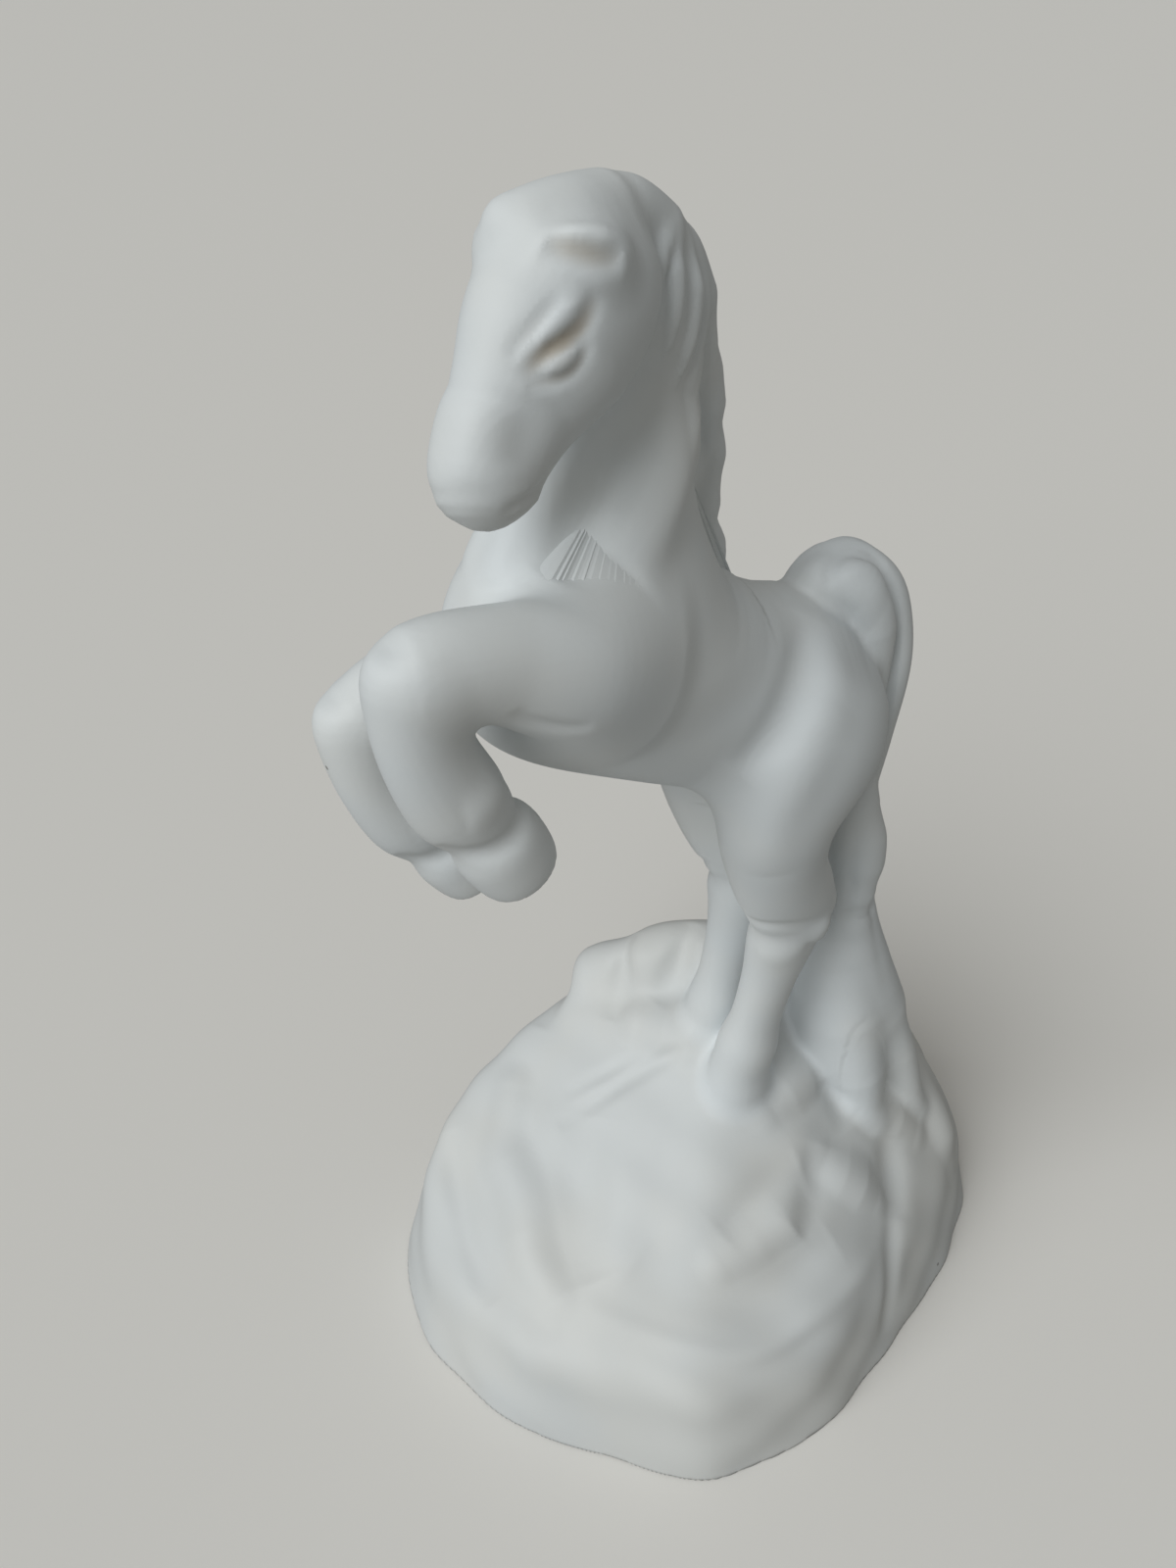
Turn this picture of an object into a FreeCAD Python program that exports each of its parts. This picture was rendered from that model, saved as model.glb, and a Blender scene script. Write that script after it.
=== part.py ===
# Rearing porcelain unicorn figurine on a rock, as a set of slip-cast pieces.
#
# Millimetres, +Z up, the rock's flat underside on Z = 0 and the origin at the middle of the whole
# figurine's outline on the table. The animal faces -Y and its left side is +X. "Near" is its left
# side and "far" its right.
#
# Every limb is a chain of oval sections. A section stands a "run" beyond the one before it, turned
# by a "bend" about the animal's left-right axis and by a "lean" to its right. Its half width is
# "half", and it is "deeper" than that across. A change of one run or bend carries along all that
# follows it: the rock carries the hips, the hips the trunk, and the trunk the neck, head and legs.
# Each form runs on inside its neighbour and is cut back by it, so the pieces meet face to face.

import FreeCAD, Part
import os

doc = FreeCAD.newDocument("Figurine")
sheet = doc.addObject("Spreadsheet::Sheet", "Sizes")
sheet_row = 0


def size(name, value):
    """Writes a plain number into the sheet under its own name, and gives back how to refer to it."""
    global sheet_row
    sheet_row += 1
    sheet.set("A%d" % sheet_row, name)
    sheet.set("B%d" % sheet_row, str(value))
    sheet.setAlias("B%d" % sheet_row, name)
    return "Sizes." + name


def step(across, sideways, along, yaw, pitch, roll):
    """A placement's expression: a move in the frame before it, then a turn."""
    return ("create(<<placement>>; create(<<vector>>; %s; %s; %s); create(<<rotation>>; %s; %s; %s))"
            % (across, sideways, along, yaw, pitch, roll))


# ---------------------------------------------------------------------------------------------
# The rock: upright walls that lean in, and sloping facets above them
# ---------------------------------------------------------------------------------------------

# Heading of each wall's outward side, in degrees from +X to +Y, its reach from the middle at the
# table, and its lean inwards from upright.
ROCK_WALLS = [
    ("front", -95, 36.0, 14),
    ("front_near", -70, 32.6, 14),
    ("corner", -45, 28.6, 12),
    ("near", -3, 25.6, 12),
    ("near_rear", 20, 23.9, 14),
    ("rear_corner", 36, 27.5, 16),
    ("rear_near", 66, 34.5, 12),
    ("rear", 95, 37.0, 14),
    ("rear_far", 130, 36.0, 14),
    ("far_rear", 160, 31.0, 12),
    ("far", 188, 28.5, 12),
    ("far_front", 216, 34.2, 12),
    ("front_far", 243, 37.2, 13),
]

# Heading, reach from the middle at the height of the shoulder, and slope from level.
ROCK_FACETS = [
    ("face", -75, 25.5, 37),
    ("corner_face", -45, 22.5, 37),
    ("near_face", -5, 19.5, 42),
    ("near_crag", 25, 19.0, 48),
    ("rear_crag", 52, 27.5, 47),
    ("rear_face", 78, 33.0, 60),
    ("summit", 50, 74.0, 18),
    ("far_face", 140, 31.0, 48),
    ("front_far_face", -125, 38.0, 40),
]

shoulder_height = size("rock_shoulder_height", 14.0)
wall_thickness = size("rock_wall_thickness", 3.2)
roof_thickness = size("rock_roof_thickness", 4.0)
mid_plane = size("mid_plane_offset", 2.2)
# The walls and facets are cut from a block twice as wide as the outermost wall needs.
reaches = ["Sizes.rock_%s_reach" % wall[0] for wall in ROCK_WALLS]
block_side = "(4 * max(%s))" % "; ".join(reaches)


def rock_block(name):
    """The plain block that the walls and facets are cut from."""
    block = doc.addObject("Part::Box", name)
    block.setExpression("Length", block_side)
    block.setExpression("Width", block_side)
    block.setExpression("Height", block_side)
    block.setExpression("Placement.Base.x", "%s - %s / 2" % (mid_plane, block_side))
    block.setExpression("Placement.Base.y", "-%s / 2" % block_side)
    return block


def rock_cutter(name, heading, reach, tilt, height, inset):
    """A slab whose underside is the face to cut: through a point at that reach and height, and
    moved inwards by the inset. The tilt is the face's angle from level."""
    slab = doc.addObject("Part::Box", name)
    slab.setExpression("Length", "2 * %s" % block_side)
    slab.setExpression("Width", "2 * %s" % block_side)
    slab.setExpression("Height", block_side)
    # turned to the heading, moved out and up and tilted, then centred on its own face
    turned = step(mid_plane, "0", "0", heading, "0", "0")
    moved = step(reach, "0", height, "0", tilt, "0")
    centred = step("-" + block_side, "-" + block_side, "-" + inset, "0", "0", "0")
    slab.setExpression("Placement", "%s * %s * %s" % (turned, moved, centred))
    return slab


def rock_form(name, wall_inset, facet_inset):
    """The block with every wall and facet cut, moved inwards by the two insets."""
    cutters = []
    for label, heading, reach, lean in ROCK_WALLS:
        values = ["Sizes.rock_%s_%s" % (label, word) for word in ("heading", "reach", "lean")]
        cutters.append(rock_cutter("%s_%s_wall" % (name, label), values[0], values[1],
                                   "(90 - %s)" % values[2], "0", wall_inset))
    for label, heading, reach, slope in ROCK_FACETS:
        values = ["Sizes.rock_%s_%s" % (label, word) for word in ("heading", "reach", "slope")]
        cutters.append(rock_cutter("%s_%s_facet" % (name, label), values[0], values[1],
                                   values[2], shoulder_height, facet_inset))
    waste = doc.addObject("Part::MultiFuse", name + "_waste")
    waste.Shapes = cutters
    form = doc.addObject("Part::Cut", name)
    form.Base = rock_block(name + "_block")
    form.Tool = waste
    return form


def build_rock():
    """The solid mound, its inner hollow, and the open-bottomed shell between the two."""
    for label, heading, reach, lean in ROCK_WALLS:
        size("rock_%s_heading" % label, heading)
        size("rock_%s_reach" % label, reach)
        size("rock_%s_lean" % label, lean)
    for label, heading, reach, slope in ROCK_FACETS:
        size("rock_%s_heading" % label, heading)
        size("rock_%s_reach" % label, reach)
        size("rock_%s_slope" % label, slope)
    mound = rock_form("Mound", "0", "0")
    hollow = rock_form("Hollow", wall_thickness, roof_thickness)
    shell = doc.addObject("Part::Cut", "RockBase")
    shell.Base = mound
    shell.Tool = hollow
    shell.Label = "rock_base"
    return mound, shell


# ---------------------------------------------------------------------------------------------
# The animal: chains of oval sections
# ---------------------------------------------------------------------------------------------

# Each row is one section: run, bend, lean, half, deeper.
TRUNK = [
    (0.0, 0, 0, 3.2, 0.2),
    (2.0, 0, 0, 5.6, 0.3),
    (4.7, -4, 0, 7.6, 0.3),
    (7.8, -11, 0, 8.0, 0.2),
    (8.9, -4, 0, 8.4, 0.2),
    (8.1, 0, 0, 8.6, 0.3),
    (5.2, 2, 0, 7.0, 0.3),
    (3.6, 0, 0, 3.8, 0.3),
]
NECK = [
    (0.0, 0, 0, 7.0, 2.0),
    (7.1, -8, 0, 7.0, 2.0),
    (7.0, -2, -8, 5.8, 1.4),
    (7.1, 2, -5, 4.8, 0.9),
    (6.2, 10, -4, 4.2, 0.7),
    (4.0, 0, 0, 2.4, 0.6),
]
HEAD = [
    (0.0, 0, 0, 3.2, 0.3),
    (3.4, 13, 13, 4.2, 1.0),
    (4.3, 15, 5, 4.6, 1.1),
    (4.3, 8, 3, 3.5, 0.9),
    (3.2, 6, -4, 3.1, 0.4),
    (2.3, 9, -9, 2.9, 0.3),
    (1.4, 0, 0, 2.0, 0.2),
]
MANE = [
    (0.0, 0, 0, 1.8, 0.6),
    (4.7, -4, 0, 2.1, 0.7),
    (4.2, -18, 0, 1.8, 0.5),
    (4.0, -1, 0, 2.2, 0.7),
    (4.1, -11, 0, 1.8, 0.5),
    (4.5, 3, 0, 2.3, 0.8),
    (4.5, -1, 0, 1.8, 0.6),
    (5.0, -6, 0, 2.0, 0.8),
    (6.0, 0, 0, 1.4, 0.4),
]
FORELOCK = [
    (0.0, 0, 0, 2.0, 0.2),
    (3.4, 14, 8, 2.0, 0.2),
    (2.7, 21, 14, 1.7, 0.2),
    (1.8, 0, 0, 1.2, 0.1),
]
EAR = [
    (0.0, 0, 0, 0.9, 0.1),
    (1.8, 17, 10, 1.2, 0.3),
    (1.5, 19, 9, 0.9, 0.3),
    (1.3, 0, 0, 0.3, 0.1),
]
FOREARM = [
    (0.0, 0, 0, 5.0, 1.0),
    (5.5, 3, 20, 4.8, 0.7),
    (6.5, 12, 5, 3.7, 0.4),
    (4.6, 4, 2, 3.4, 0.3),
    (2.5, 0, 0, 2.7, 0.2),
]
FORE_CANNON = [
    (0.0, 0, 0, 2.4, 0.1),
    (2.3, 3, 0, 3.2, 0.3),
    (5.2, 17, 0, 3.1, 0.2),
    (5.2, 12, 0, 3.2, 0.4),
    (3.4, -4, 0, 2.9, 0.2),
    (3.0, 0, 0, 3.3, 0.2),
    (3.2, 0, 0, 3.0, 0.1),
    (0.9, 0, 0, 1.5, 0.1),
]
THIGH = [
    (0.0, 0, 0, 4.6, 1.8),
    (4.7, 10, 24, 5.2, 2.0),
    (6.4, 26, 2, 4.9, 0.8),
    (6.0, 17, 2, 4.0, 0.8),
    (6.1, 7, 0, 3.4, 1.2),
    (4.2, 0, 0, 2.8, 1.2),
]
HIND_CANNON = [
    (0.0, 0, 0, 2.4, 0.6),
    (3.2, 0, 0, 3.0, 0.8),
    (6.3, 0, 0, 2.5, 0.5),
    (6.2, 0, 0, 2.4, 0.4),
    (4.2, 0, 0, 3.0, 0.3),
    (3.6, 5, 0, 3.0, 0.3),
    (3.6, 0, 0, 3.5, 0.2),
    (5.0, 0, 0, 3.5, 0.2),
]
# The tail's sections are turned a quarter, so it bends by its leans and is wide from side to side.
TAIL = [
    (0.0, 0, 0, 2.0, 0.2),
    (6.2, 0, -20, 2.2, 0.6),
    (2.6, 0, -60, 2.2, 1.0),
    (2.0, 0, -50, 2.3, 1.3),
    (3.0, 0, -30, 2.3, 1.6),
    (6.0, 0, -15, 2.3, 1.8),
    (8.0, 0, 0, 2.3, 1.4),
    (8.0, 0, 9, 2.3, 0.9),
    (8.0, 0, 2, 2.5, 0.9),
    (8.0, 0, 8, 2.5, 0.3),
    (8.0, 0, 5, 2.9, 0.8),
    (7.5, 0, 0, 3.4, 1.0),
]
ROW_WORDS = ("run", "bend", "lean", "half", "deeper")


def row_sizes(table_name, table):
    """Names every value of a table in the sheet, once for all the limbs that share it."""
    for number, row in enumerate(table):
        for word, value in zip(ROW_WORDS, row):
            size("%s_%d_%s" % (table_name, number, word), value)


def start_sizes(limb, values):
    """Names where a limb starts in its carrier's frame: three moves and three turns."""
    words = ("across", "sideways", "along", "yaw", "pitch", "roll")
    return [size("%s_start_%s" % (limb, word), value) for word, value in zip(words, values)]


def chain(limb, table_name, table, carrier, start, side=1):
    """The loft through the sections of one limb, from its start in the carrier's frame. A right
    limb's sideways move, yaw and leans are the left limb's, mirrored by side = -1."""
    sections = []
    for number in range(len(table)):
        run, bend, lean, half, deeper = [
            "Sizes.%s_%d_%s" % (table_name, number, word) for word in ROW_WORDS]
        section = doc.addObject("Part::Ellipse", "%s_section_%d" % (limb, number))
        section.setExpression("MajorRadius", "%s + %s" % (half, deeper))
        section.setExpression("MinorRadius", half)
        turn = step("0", "0", run, "0", bend, "%d * %s" % (side, lean))
        if number == 0:
            across, sideways, along, yaw, pitch, roll = start
            first = step(across, "%d * %s" % (side, sideways), along,
                         "%d * %s" % (side, yaw), pitch, "%d * %s" % (side, roll))
            if carrier:
                first = "%s.Placement * %s" % (carrier.Name, first)
            section.setExpression("Placement", "%s * %s" % (first, turn))
        else:
            section.setExpression("Placement", "%s.Placement * %s" % (sections[-1].Name, turn))
        sections.append(section)
    form = doc.addObject("Part::Loft", limb + "_form")
    form.Sections = sections
    form.Solid = True
    form.Ruled = False
    return form


def trimmed(name, form, *neighbours):
    """The form cut back by the neighbours that it runs into."""
    piece = doc.addObject("Part::Cut", name + "_piece")
    piece.Base = form
    if len(neighbours) == 1:
        piece.Tool = neighbours[0]
    else:
        others = doc.addObject("Part::MultiFuse", name + "_neighbours")
        others.Shapes = list(neighbours)
        piece.Tool = others
    piece.Label = name
    return piece


mound, rock_base = build_rock()

for table_name, table in [("trunk", TRUNK), ("neck", NECK), ("head", HEAD), ("mane", MANE),
                          ("forelock", FORELOCK), ("ear", EAR), ("forearm", FOREARM),
                          ("fore_cannon", FORE_CANNON), ("thigh", THIGH),
                          ("hind_cannon", HIND_CANNON), ("tail", TAIL)]:
    row_sizes(table_name, table)

# The trunk's rear end stands over the rock, and its axis climbs towards the chest.
rear_set_back = size("rear_set_back", 10.0)
rear_height = size("rear_height_over_shoulder", 62.5)
trunk_climb = size("trunk_climb", 11.0)
trunk_start = (mid_plane, rear_set_back, "%s + %s" % (shoulder_height, rear_height),
               "-90", "90 - %s" % trunk_climb, "0")
trunk = chain("trunk", "trunk", TRUNK, None, trunk_start)
trunk.Label = "trunk"
hips = trunk.Sections[2]
withers = trunk.Sections[5]

neck = chain("neck", "neck", NECK, withers, start_sizes("neck", (-0.3, 0, -4.5, 0, -52, 0)))
poll = neck.Sections[4]
head = chain("head", "head", HEAD, poll, start_sizes("head", (0.6, 0.4, 3.0, 122, 66, 85)))
brow = head.Sections[1]
mane = chain("mane", "mane", MANE, poll, start_sizes("mane", (0.5, -0.2, 5.1, 0, -145, 0)))
forelock = chain("forelock", "forelock", FORELOCK, brow,
                 start_sizes("forelock", (-2.1, 0.2, -3.4, -59, -18, 29)))
ear_start = start_sizes("ear", (-2.0, 3.9, 0.5, -70, -13, 47))
left_ear = chain("left_ear", "ear", EAR, brow, ear_start)
right_ear = chain("right_ear", "ear", EAR, brow, ear_start, -1)

left_forearm = chain("left_forearm", "forearm", FOREARM, withers,
                     start_sizes("left_forearm", (-1.4, 4.8, -1.6, 0, 6, -27)))
left_fore_cannon = chain("left_fore_cannon", "fore_cannon", FORE_CANNON, left_forearm.Sections[3],
                         start_sizes("left_fore_cannon", (-2.0, 0, 1.6, 0, 96, 0)))
right_forearm = chain("right_forearm", "forearm", FOREARM, withers,
                      start_sizes("right_forearm", (1.0, 4.4, -4.6, 0, 34, -27)), -1)
right_fore_cannon = chain("right_fore_cannon", "fore_cannon", FORE_CANNON, right_forearm.Sections[3],
                          start_sizes("right_fore_cannon", (-2.2, 0, 1.4, 0, 73, 0)), -1)

left_thigh = chain("left_thigh", "thigh", THIGH, hips,
                   start_sizes("left_thigh", (-1.6, 3.6, 1.0, 0, 78, -24)))
left_hind_cannon = chain("left_hind_cannon", "hind_cannon", HIND_CANNON, left_thigh.Sections[5],
                         start_sizes("left_hind_cannon", (-0.5, 0, -2.2, 0, -36, 2)))
right_thigh = chain("right_thigh", "thigh", THIGH, hips,
                    start_sizes("right_thigh", (-1.6, 3.6, 0.8, 0, 80, -24)), -1)
right_hind_cannon = chain("right_hind_cannon", "hind_cannon", HIND_CANNON, right_thigh.Sections[5],
                          start_sizes("right_hind_cannon", (-0.5, 0, -2.2, 0, -40, -8)), -1)

tail = chain("tail", "tail", TAIL, trunk.Sections[1],
             start_sizes("tail", (-1.4, -1.0, 3.0, 90, 0, -86)))

pieces = [
    rock_base,
    trunk,
    trimmed("neck", neck, trunk),
    trimmed("head", head, neck),
    trimmed("mane", mane, neck, head, trunk),
    trimmed("forelock", forelock, head, neck, mane, left_ear, right_ear),
    trimmed("left_ear", left_ear, head, mane),
    trimmed("right_ear", right_ear, head, mane),
    trimmed("left_forearm", left_forearm, trunk, neck),
    trimmed("left_fore_cannon", left_fore_cannon, left_forearm),
    trimmed("right_forearm", right_forearm, trunk, neck),
    trimmed("right_fore_cannon", right_fore_cannon, right_forearm),
    trimmed("left_thigh", left_thigh, trunk),
    trimmed("left_hind_cannon", left_hind_cannon, left_thigh, mound),
    trimmed("right_thigh", right_thigh, trunk),
    trimmed("right_hind_cannon", right_hind_cannon, right_thigh, mound),
    trimmed("tail", tail, trunk, left_thigh, right_thigh, mound),
]

doc.recompute()

for item in doc.Objects:
    for word in ("Invalid", "Error"):
        if word in item.State:
            raise RuntimeError("%s is %s" % (item.Name, item.State))

os.makedirs("parts", exist_ok=True)
for piece in pieces:
    shape = piece.Shape
    if shape.isNull() or not shape.isValid():
        raise RuntimeError("%s has no valid shape" % piece.Label)
    if len(shape.Solids) != 1:
        raise RuntimeError("%s has %d solids" % (piece.Label, len(shape.Solids)))
    shape.exportStep("parts/%s.step" % piece.Label)
    box = shape.BoundBox
    print("%-18s volume %8.1f  X %.1f..%.1f  Y %.1f..%.1f  Z %.1f..%.1f" % (
        piece.Label, shape.Volume, box.XMin, box.XMax, box.YMin, box.YMax, box.ZMin, box.ZMax))
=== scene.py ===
"""Rearing porcelain figurine on a hollow rock: the sculpted bisque surface over its pieces.

The animal faces -Y, its left side is +X and +Z is up. Shapes are worked out in millimetres, in the
frame of the solids, and become metres when a mesh is made.

Each limb is a tube carried through a chain of oval sections. The tubes, the hair's locks and the
rock are joined as one field of signed distances, which is softened where castings were sponged
together and then raised or grooved by strokes, as a modeller works clay. One surface is drawn where
that field is zero, so it has no seam, and each piece takes its own patch of it.
"""

import bpy
import numpy as np
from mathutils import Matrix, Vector


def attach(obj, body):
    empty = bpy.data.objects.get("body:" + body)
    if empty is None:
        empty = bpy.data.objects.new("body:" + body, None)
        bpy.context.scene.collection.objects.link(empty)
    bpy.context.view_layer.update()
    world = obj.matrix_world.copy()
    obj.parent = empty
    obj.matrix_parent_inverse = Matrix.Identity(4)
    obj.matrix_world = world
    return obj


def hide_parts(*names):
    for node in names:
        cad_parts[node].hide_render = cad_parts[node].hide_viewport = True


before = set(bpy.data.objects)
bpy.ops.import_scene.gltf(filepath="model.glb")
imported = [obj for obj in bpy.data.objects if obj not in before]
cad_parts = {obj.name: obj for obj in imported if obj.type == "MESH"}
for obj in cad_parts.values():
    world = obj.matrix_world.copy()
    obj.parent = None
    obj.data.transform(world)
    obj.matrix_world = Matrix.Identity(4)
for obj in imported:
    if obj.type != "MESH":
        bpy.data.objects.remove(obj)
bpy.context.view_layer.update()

MM = 0.001
# A distance beyond any reach, and the side of the cells in which the surface is drawn.
FAR = 40.0
GRID = 0.32
# The animal's mid-plane beside the rock's middle, and the height of the rock's shoulder.
MID_PLANE = 2.2
SHOULDER_HEIGHT = 14.0


# ------------------------------
# The chains of oval sections, as in the solids: run, bend, lean, half, deeper
# ------------------------------

TRUNK = [
    (0.0, 0, 0, 3.2, 0.2),
    (2.0, 0, 0, 5.6, 0.3),
    (4.7, -4, 0, 7.6, 0.3),
    (7.8, -11, 0, 8.0, 0.2),
    (8.9, -4, 0, 8.4, 0.2),
    (8.1, 0, 0, 8.6, 0.3),
    (5.2, 2, 0, 7.0, 0.3),
    (3.6, 0, 0, 3.8, 0.3),
]
NECK = [
    (0.0, 0, 0, 7.0, 2.0),
    (7.1, -8, 0, 7.0, 2.0),
    (7.0, -2, -8, 5.8, 1.4),
    (7.1, 2, -5, 4.8, 0.9),
    (6.2, 10, -4, 4.2, 0.7),
    (4.0, 0, 0, 2.4, 0.6),
]
HEAD = [
    (0.0, 0, 0, 3.2, 0.3),
    (3.4, 13, 13, 4.2, 1.0),
    (4.3, 15, 5, 4.6, 1.1),
    (4.3, 8, 3, 3.5, 0.9),
    (3.2, 6, -4, 3.1, 0.4),
    (2.3, 9, -9, 2.9, 0.3),
    (1.4, 0, 0, 2.0, 0.2),
]
# the rounded tip of the muzzle, past the head's last section
MUZZLE_TIP = [(0.7, 0, 0, 0.8, 0.1)]
MANE = [
    (0.0, 0, 0, 1.8, 0.6),
    (4.7, -4, 0, 2.1, 0.7),
    (4.2, -18, 0, 1.8, 0.5),
    (4.0, -1, 0, 2.2, 0.7),
    (4.1, -11, 0, 1.8, 0.5),
    (4.5, 3, 0, 2.3, 0.8),
    (4.5, -1, 0, 1.8, 0.6),
    (5.0, -6, 0, 2.0, 0.8),
    (6.0, 0, 0, 1.4, 0.4),
]
FORELOCK = [
    (0.0, 0, 0, 2.0, 0.2),
    (3.4, 14, 8, 2.0, 0.2),
    (2.7, 21, 14, 1.7, 0.2),
    (1.8, 0, 0, 1.2, 0.1),
]
EAR = [
    (0.0, 0, 0, 0.9, 0.1),
    (1.8, 17, 10, 1.2, 0.3),
    (1.5, 19, 9, 0.9, 0.3),
    (1.3, 0, 0, 0.3, 0.1),
]
FOREARM = [
    (0.0, 0, 0, 5.0, 1.0),
    (5.5, 3, 20, 4.8, 0.7),
    (6.5, 12, 5, 3.7, 0.4),
    (4.6, 4, 2, 3.4, 0.3),
    (2.5, 0, 0, 2.7, 0.2),
]
FORE_CANNON = [
    (0.0, 0, 0, 2.4, 0.1),
    (2.3, 3, 0, 3.2, 0.3),
    (5.2, 17, 0, 3.1, 0.2),
    (5.2, 12, 0, 3.2, 0.4),
    (3.4, -4, 0, 2.9, 0.2),
    (3.0, 0, 0, 3.3, 0.2),
    (3.2, 0, 0, 3.0, 0.1),
    (0.9, 0, 0, 1.5, 0.1),
]
THIGH = [
    (0.0, 0, 0, 4.6, 1.8),
    (4.7, 10, 24, 5.2, 2.0),
    (6.4, 26, 2, 4.9, 0.8),
    (6.0, 17, 2, 4.0, 0.8),
    (6.1, 7, 0, 3.4, 1.2),
    (4.2, 0, 0, 2.8, 1.2),
]
HIND_CANNON = [
    (0.0, 0, 0, 2.4, 0.6),
    (3.2, 0, 0, 3.0, 0.8),
    (6.3, 0, 0, 2.5, 0.5),
    (6.2, 0, 0, 2.4, 0.4),
    (4.2, 0, 0, 3.0, 0.3),
    (3.6, 5, 0, 3.0, 0.3),
    (3.6, 0, 0, 3.5, 0.2),
    (5.0, 0, 0, 3.5, 0.2),
]
TAIL = [
    (0.0, 0, 0, 2.0, 0.2),
    (6.2, 0, -20, 2.2, 0.6),
    (2.6, 0, -60, 2.2, 1.0),
    (2.0, 0, -50, 2.3, 1.3),
    (3.0, 0, -30, 2.3, 1.6),
    (6.0, 0, -15, 2.3, 1.8),
    (8.0, 0, 0, 2.3, 1.4),
    (8.0, 0, 9, 2.3, 0.9),
    (8.0, 0, 2, 2.5, 0.9),
    (8.0, 0, 8, 2.5, 0.3),
    (8.0, 0, 5, 2.9, 0.8),
    (7.5, 0, 0, 3.4, 1.0),
]


def placement(across, sideways, along, yaw, pitch, roll):
    """A move in the frame before it, then a turn about Z by yaw, Y by pitch and X by roll."""
    a, b, c = np.radians((yaw, pitch, roll))
    about_z = np.array([[np.cos(a), -np.sin(a), 0], [np.sin(a), np.cos(a), 0], [0, 0, 1]])
    about_y = np.array([[np.cos(b), 0, np.sin(b)], [0, 1, 0], [-np.sin(b), 0, np.cos(b)]])
    about_x = np.array([[1, 0, 0], [0, np.cos(c), -np.sin(c)], [0, np.sin(c), np.cos(c)]])
    matrix = np.eye(4)
    matrix[:3, :3] = about_z @ about_y @ about_x
    matrix[:3, 3] = (across, sideways, along)
    return matrix


def smooth_rows(rows, pitch):
    """Catmull-Rom curve through the rows, a row about every pitch mm. Columns 0-2 are a place."""
    rows = np.asarray(rows, float)
    ends = np.vstack([2 * rows[0] - rows[1], rows, 2 * rows[-1] - rows[-2]])
    out = []
    for p0, p1, p2, p3 in zip(ends, ends[1:], ends[2:], ends[3:]):
        count = max(2, int(np.ceil(np.linalg.norm(p2[:3] - p1[:3]) / pitch)))
        t = np.linspace(0, 1, count, endpoint=False)[:, None]
        out.append(0.5 * (2 * p1 + (p2 - p0) * t + (2 * p0 - 5 * p1 + 4 * p2 - p3) * t ** 2
                          + (3 * p1 - p0 - 3 * p2 + p3) * t ** 3))
    out.append(rows[-1:])
    return np.vstack(out)


def unit(vectors):
    """Each vector divided by its own length."""
    return vectors / np.maximum(np.linalg.norm(vectors, axis=-1, keepdims=True), 1e-9)


LEAST_RADIUS = 0.15
# How far past its skin a tube is worked out, how far inside its ends they begin to matter, and the
# largest share of its smaller radius by which an end is rounded off.
TUBE_REACH = 3.0
END_REACH = 2.0
ROUNDING_SHARE = 0.6


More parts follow.
